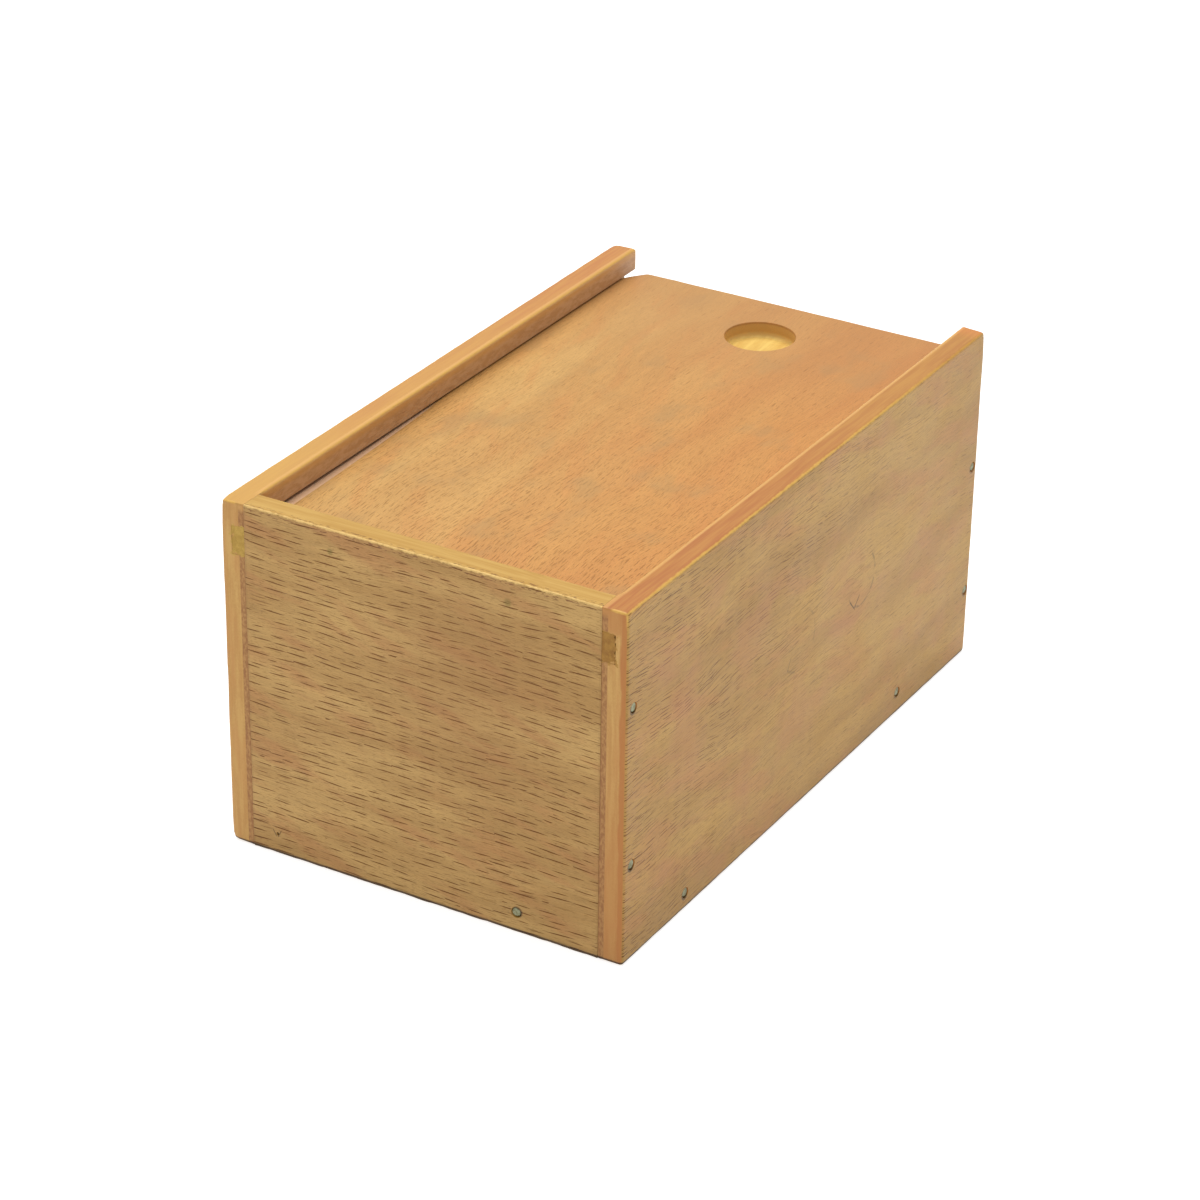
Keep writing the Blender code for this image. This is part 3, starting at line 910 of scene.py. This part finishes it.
def pin_seat(node):
    """Where a pin's head sits, which way it looks, and how long the pin is."""
    low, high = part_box(node)
    size = high - low
    axis = max(range(3), key=lambda index: size[index])
    sign = 1.0 if low[axis] + high[axis] > 0.0 else -1.0
    outward = Vector([sign if index == axis else 0.0 for index in range(3)])
    head_at = (low + high) / 2.0
    head_at[axis] = high[axis] if sign > 0.0 else low[axis]
    return head_at, outward, size[axis]


def pin_profile(length):
    """A lost-head pin from the middle of its head, down its side, to its point."""
    crown = [(HEAD_RADIUS * share, -0.02 * MM * share * share) for share in (0.0, 0.3, 0.6, 0.82)]
    head = [(HEAD_RADIUS * 0.94, -0.05 * MM), (HEAD_RADIUS, -0.14 * MM), (HEAD_RADIUS, -HEAD_DEPTH)]
    shank = [(SHANK_RADIUS, -NECK_DEPTH), (SHANK_RADIUS, POINT_LENGTH - length)]
    return crown + head + shank + [(SHANK_RADIUS * 0.55, POINT_LENGTH * 0.4 - length), (0.0, -length)]


def hole_profile(length, buried):
    """A pin's hole, crushed wider at its mouth; over a buried pin only a small pit is open."""
    mouth = HEAD_RADIUS + HOLE_ROOM
    shank = SHANK_RADIUS + 0.5 * HOLE_ROOM
    wide = mouth + HOLE_CRUSH
    profile = [(0.0, OVER), (wide, OVER), (wide, 0.05 * MM), (mouth, -0.12 * MM)]
    if buried:
        profile = [(0.0, OVER), (0.75 * MM, OVER), (PIT_RADIUS, -0.20 * MM), (PIT_RADIUS, -BURIED_BY)]
    below = HOLE_CRUSH + (BURIED_BY if buried else 0.0)
    neck = -NECK_DEPTH - below
    end = -length - below
    return profile + [(mouth, neck), (shank, neck), (shank, end), (0.0, end)]


def drill_for_pins(cutter, low, high):
    """Add the holes of all pins that run into a board to its cutter."""
    for node in PIN_NODES:
        pin_low, pin_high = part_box(node)
        if all(pin_low[axis] < high[axis] and pin_high[axis] > low[axis] for axis in range(3)):
            head_at, outward, length = pin_seat(node)
            turn(cutter, hole_profile(length, node == BURIED_PIN), PIN_SEGMENTS, head_at, outward)


def add_pin(node, material, seed):
    """A steel pin: a hammered head that sits a little high in its hole, neck, shank and point."""
    head_at, outward, length = pin_seat(node)
    shape = bmesh.new()
    turn(shape, pin_profile(length), PIN_SEGMENTS, Vector(), UP)
    for vertex in shape.verts:
        if vertex.co.z > -HEAD_DEPTH * 0.5:
            radius = math.hypot(vertex.co.x, vertex.co.y)
            hammered = noise.noise(Vector((vertex.co.x / (0.5 * MM), vertex.co.y / (0.5 * MM), seed * 3.1)))
            vertex.co.z += 0.035 * MM * min(0.0, hammered) * min(1.0, radius / HEAD_RADIUS + 0.4)
            vertex.co.y *= 0.95
    lean = Matrix.Rotation(PIN_LEAN, 4, "X") @ Matrix.Rotation(seed * 1.7, 4, "Z")
    bmesh.ops.transform(shape, matrix=lean, verts=shape.verts)
    piece = new_piece("steel_" + node, shape, material)
    sunk = BURIED_BY + PIN_SUNK if node == BURIED_PIN else PIN_SUNK
    place = Matrix.Translation(head_at - outward * sunk + UP * PIN_SHIFT)
    piece.data.transform(place @ outward.to_track_quat("Z", "Y").to_matrix().to_4x4())
    hand_over(piece, "box", node)


# ---- boards

def inner_rim_radius(point):
    """The rim's inner arris is soft, except where it was sanded flush with the closed end."""
    return 0.06 + 0.75 * clamp((point.y - PUTTY_END) / (2.0 * MM))


def side_arrises(side):
    """The soft edges of a side board, in millimetres; side is -1 on the left and 1 on the right."""
    out = "+X" if side > 0 else "-X"
    inward = "-X" if side > 0 else "+X"
    return {
        out + "-Y": 0.85, out + "+Y": 0.7, out + "+Z": 0.75, out + "-Z": 0.7,
        inward + "-Y": 0.06, inward + "+Y": 0.4, inward + "+Z": inner_rim_radius,
        "+Y+Z": 1.2, "-Y+Z": 0.4, "+Y-Z": 1.2, "-Y-Z": 0.7,
    }


def groove_outline(side):
    """The groove's section, with softened lips where it opens to the inside."""
    lip = WALL_INSIDE + GROOVE_LIP
    wall = WALL_INSIDE - 0.02 * MM
    inside = WALL_INSIDE - 1.0 * MM
    above = GROOVE_HIGH + GROOVE_LIP
    below = GROOVE_LOW - GROOVE_LIP
    upper = [(GROOVE_WALL, GROOVE_HIGH), (lip, GROOVE_HIGH), (wall, above), (inside, above)]
    lower = [(inside, below), (wall, below), (lip, GROOVE_LOW)]
    return [(side * x, z) for x, z in [(GROOVE_WALL, GROOVE_LOW)] + upper + lower]


def sink_front_strip(shape, front, top):
    """Press the strip beside the closed end a little below the end grain."""
    for vertex in shape.verts:
        from_wall = abs(vertex.co.x) - WALL_INSIDE
        at_front = max(0.0, 1.0 - (vertex.co.y - front) / (1.5 * MM))
        at_wall = clamp((STRIP_WIDTH + 0.3 * MM - from_wall) / (0.3 * MM))
        below_rim = clamp((top - vertex.co.z) / (3.0 * MM))
        vertex.co.y += STRIP_DEPTH * at_front * at_wall * below_rim


def trim_far_end(shape, far, top, amount):
    """Let a board's far end run out of square: shorter by amount at its foot than at its top."""
    for vertex in shape.verts:
        share = clamp((vertex.co.y - (far - TRIM_ZONE)) / TRIM_ZONE)
        vertex.co.y -= amount * share * (1.0 - vertex.co.z / top)


def add_board(name, node, shape, material, low, high, cutter=None):
    """Make a board of a softened shape, with its cutter and its pin holes cut out."""
    board = new_piece(name, shape, material)
    cutter = cutter or bmesh.new()
    drill_for_pins(cutter, low, high)
    cut_away(board, cutter)
    hand_over(board, "box", node)


def add_side_board(side, node, beech, seed, dents, out_of_square):
    """A side board with its groove, its pin holes and its worn edges."""
    low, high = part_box(node)
    shape = cut_up_box(low, high, (THIN_STEP, LONG_STEP, FACE_STEP))
    soften(shape, low, high, side_arrises(side), 0.4, 0.16, 0.05, seed, dents)
    sink_front_strip(shape, low.y, high.z)
    trim_far_end(shape, high.y, high.z, out_of_square)
    cutter = bmesh.new()
    prism(cutter, groove_outline(side), low.y - OVER, high.y + OVER)
    add_board(node + "_board", node, shape, beech(low, high), low, high, cutter)


def add_end_board(name, node, beech, arrises, wear, seed):
    """An end board, let in between the sides, with its pin holes."""
    low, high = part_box(node)
    material = beech(low, high)
    low.x = -WALL_INSIDE + CLOSE_LINE
    high.x = WALL_INSIDE - CLOSE_LINE
    shape = cut_up_box(low, high, (END_STEP, THIN_STEP, FACE_STEP))
    soften(shape, low, high, arrises, 0.3, wear, 0.06, seed)
    add_board(name, node, shape, material, low, high)


def add_bottom_board():
    """The bottom board, flush with the walls' lower edges."""
    low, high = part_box("bottom_board")
    low.x = -WALL_INSIDE + GLUE_LINE
    high.x = WALL_INSIDE - GLUE_LINE
    shape = cut_up_box(low, high, (FACE_STEP, FACE_STEP, 1.5 * THIN_STEP))
    soften(shape, low, high, {}, 0.35, 0.3, 0.08, 71.0)
    add_board("bottom_beech_board", "bottom_board", shape, bottom_beech(low, high), low, high)


# ---- lid

def bevel_left_edge(point):
    """Drop the lid's top towards its left edge: most at the closed end, fading out half way."""
    share = (point.y - LID_LOW.y) / (LID_HIGH.y - LID_LOW.y) / BEVEL_RUN
    if share >= 1.0 or point.z < (LID_LOW.z + LID_HIGH.z) / 2.0:
        return
    over = -WALL_INSIDE + BEVEL_WIDTH * (1.0 - share * share) - point.x
    if over > 0.0:
        point.z -= BEVEL_SLOPE * over


def ease_far_corners(point):
    """Cut the lid's far corners back in plan, so that it finds its grooves easily."""
    past = point.y - (LID_HIGH.y - CORNER_RUN)
    if past <= 0.0:
        return
    hold = max(0.0, 1.0 - (LID_HIGH.x - abs(point.x)) / CORNER_REACH)
    point.x -= math.copysign(CORNER_CUT * (past / CORNER_RUN) ** 1.7 * hold, point.x)


def recess_profile():
    """The finger recess: eased lip, steep wall, a hollow inner corner and a nearly flat floor."""
    corner = []
    for step in range(0, 91, 15):
        turned = math.radians(step)
        corner.append((RECESS_RADIUS - RECESS_HOLLOW * (1.0 - math.cos(turned)),
                       -RECESS_DEPTH + RECESS_HOLLOW * (1.0 - math.sin(turned))))
    wide = RECESS_RADIUS + 0.22 * MM
    lip = [(wide, OVER), (wide, 0.05 * MM), (RECESS_RADIUS + 0.06 * MM, -0.08 * MM)]
    floor = [(RECESS_RADIUS * 0.5, 0.05 * MM - RECESS_DEPTH), (RECESS_RADIUS * 0.2, 0.02 * MM - RECESS_DEPTH)]
    return [(0.0, OVER)] + lip + [(RECESS_RADIUS, -0.25 * MM)] + corner + floor + [(0.0, -RECESS_DEPTH)]


def with_bevel_cuts(across):
    """The lid's cuts on X, closer together over the bevel on its left edge."""
    start = LID_LOW.x + EDGE_ZONE
    bevel = [start + 0.35 * MM * index for index in range(1, 14)]
    return sorted(bevel + [cut for cut in across if cut <= start or cut > bevel[-1] + MM])


def add_lid():
    """The sliding lid: bevelled left edge, eased far corners and a round finger recess."""
    shape = cut_up_box(LID_LOW, LID_HIGH, (FACE_STEP, LONG_STEP, THIN_STEP), with_bevel_cuts)
    arrises = {"+Y+Z": 0.5, "+Y-Z": 0.5, "-X+Z": 0.5, "+X+Z": 0.6, "-X+Y": 1.3, "+X+Y": 1.3}
    soften(shape, LID_LOW, LID_HIGH, arrises, 0.35, 0.35, 0.07, 53.0)
    for vertex in shape.verts:
        bevel_left_edge(vertex.co)
        ease_far_corners(vertex.co)
    recess_at = Vector((RECESS_ASIDE, LID_HIGH.y - RECESS_FROM_END, LID_HIGH.z))
    lid = new_piece("lid_board", shape, lid_beech(LID_LOW, LID_HIGH, recess_at))
    cutter = bmesh.new()
    turn(cutter, recess_profile(), RECESS_SEGMENTS, recess_at, UP)
    cut_away(lid, cutter)
    hand_over(lid, "lid", "sliding_lid")


# ---- putty

def add_putty(node, name, material, seed, shrunk):
    """A lump of filler in a groove's closed end; shrunk is how far it has drawn back in places."""
    low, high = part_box(node)
    side = 1.0 if low.x > 0.0 else -1.0
    low.z = GROOVE_LOW + CLOSE_LINE
    high.z = GROOVE_HIGH - CLOSE_LINE
    inner = side * (WALL_INSIDE + CLOSE_LINE)
    outer = side * (GROOVE_WALL - CLOSE_LINE)
    low.x, high.x = min(inner, outer), max(inner, outer)
    shape = cut_up_box(low, high, [PUTTY_STEP] * 3)
    soften(shape, low, high, {}, 0.03, 0.3, 0.0, seed)
    for vertex in shape.verts:
        point = vertex.co.copy()
        lump = noise.noise(point / (1.1 * MM) + Vector((seed, 0.0, 0.0)))
        lump += 0.5 * noise.noise(point / (0.45 * MM) + Vector((0.0, seed, 0.0)))
        by_wall = max(0.0, 1.0 - abs(outer - point.x) / (0.8 * MM))
        vertex.co.x -= side * by_wall * shrunk * max(0.0, lump)
        at_face = max(0.0, 1.0 - (point.y - low.y) / (0.4 * MM))
        vertex.co.y += at_face * 0.08 * MM * max(0.0, 0.5 + 0.5 * lump)
    piece = new_piece(name, shape, material)
    hand_over(piece, "box", node)


# ---- stage

def add_floor():
    """A plain pale table that glows a little, like a lit white sweep."""
    sweep = Recipe("white_sweep")
    mottle = sweep.cloud(sweep.scaled(50.0))
    sweep.colour = sweep.blend(mottle, TABLE_SHADE, TABLE_PALE)
    sweep.shader.inputs["Emission Color"].default_value = WHITE
    sweep.shader.inputs["Emission Strength"].default_value = 0.75
    material = sweep.finish(0.9, mottle * 0.01, specular=0.0)
    shape = bmesh.new()
    bmesh.ops.create_grid(shape, x_segments=8, y_segments=8, size=8.0)
    new_piece("table_top", shape, material)


def add_light():
    """A soft overhead light from behind and to the left, in a pale room."""
    lamp = bpy.data.lights.new("overhead_softbox", "SUN")
    lamp.energy = 2.7
    lamp.angle = math.radians(50.0)
    softbox = bpy.data.objects.new("overhead_softbox", lamp)
    softbox.rotation_euler = Vector((-0.22, 0.26, 1.0)).to_track_quat("Z", "Y").to_euler()
    SCENE.collection.objects.link(softbox)
    room = bpy.data.worlds.new("pale_room")
    room.use_nodes = True
    background = room.node_tree.nodes["Background"]
    background.inputs["Color"].default_value = WHITE
    background.inputs["Strength"].default_value = 0.45
    SCENE.world = room
    SCENE.view_settings.view_transform = "Standard"


def add_camera():
    """A long lens, a little above the box and to the right of its closed end."""
    azimuth = math.radians(30.1)
    elevation = math.radians(27.65)
    roll = math.radians(0.78)
    distance = 853.0 * MM
    shift_right = 3.95 * MM
    shift_up = 4.73 * MM
    level_back = Vector((math.sin(azimuth), -math.cos(azimuth), 0.0))
    back = level_back * math.cos(elevation) + UP * math.sin(elevation)
    level = UP.cross(back).normalized()
    upright = back.cross(level)
    right = level * math.cos(roll) + upright * math.sin(roll)
    up = upright * math.cos(roll) - level * math.sin(roll)
    aim = (CAD_LOW + CAD_HIGH) / 2.0 - right * shift_right - up * shift_up
    lens = bpy.data.cameras.new("long_lens")
    lens.sensor_width = 36.0
    lens.lens = 118.2
    lens.clip_start = 0.01
    camera = bpy.data.objects.new("long_lens", lens)
    turned = Matrix((right, up, back)).transposed().to_4x4()
    camera.matrix_world = Matrix.Translation(aim + back * distance) @ turned
    SCENE.collection.objects.link(camera)
    SCENE.camera = camera


# ---- the box

def left_dents():
    """The left board's dents: a nick and a chip in its front arris, and two worn corners."""
    low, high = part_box("left_side")
    return (
        (Vector((low.x, low.y, 37.0 * MM)), 1.1 * MM, 0.40 * MM),
        (Vector((low.x, low.y, 0.0)), 1.8 * MM, 0.3 * MM),
        (Vector((low.x, low.y, high.z)), 2.2 * MM, 0.3 * MM),
        (Vector((low.x, high.y, high.z)), 1.8 * MM, 0.25 * MM),
    )


def add_walls():
    """The two side boards and the two end boards between them."""
    right_dents = ((SIDE_HIGH, 2.2 * MM, 0.2 * MM),)
    add_side_board(-1, "left_side", left_side_beech, 5.0, left_dents(), 0.0)
    add_side_board(1, "right_side", right_side_beech, 9.0, right_dents, OUT_OF_SQUARE)
    closed = {"-Y+Z": 0.32, "+Y+Z": 0.35, "-Y-Z": 0.5, "-X-Y": 0.06, "+X-Y": 0.06, "-X+Z": 0.05, "+X+Z": 0.05}
    add_end_board("closed_end_board", "front_end", closed_end_beech, closed, 0.5, 13.0)
    opened = {"+Y+Z": 0.6, "-Y+Z": 0.35, "+Y-Z": 0.5, "-X+Y": 0.2, "+X+Y": 0.2}
    add_end_board("open_end_board", "rear_end", open_end_beech, opened, 0.4, 15.0)


def build():
    """Make every piece of the box, then the stage around it."""
    add_walls()
    add_bottom_board()
    add_lid()
    greenish = filler_putty("putty_left", PUTTY_GREENISH, PUTTY_GREEN_SHADE, 2.0)
    add_putty("groove_filler_left", "putty_left", greenish, 3.0, 0.2 * MM)
    brownish = filler_putty("putty_right", PUTTY_BROWNISH, PUTTY_BROWN_SHADE, 8.0)
    add_putty("groove_filler_right", "putty_right", brownish, 6.0, 0.8 * MM)
    steel = pin_steel()
    for index, node in enumerate(PIN_NODES):
        add_pin(node, steel, index + 1.0)
    add_floor()
    add_light()
    add_camera()


build()

bpy.context.view_layer.update()
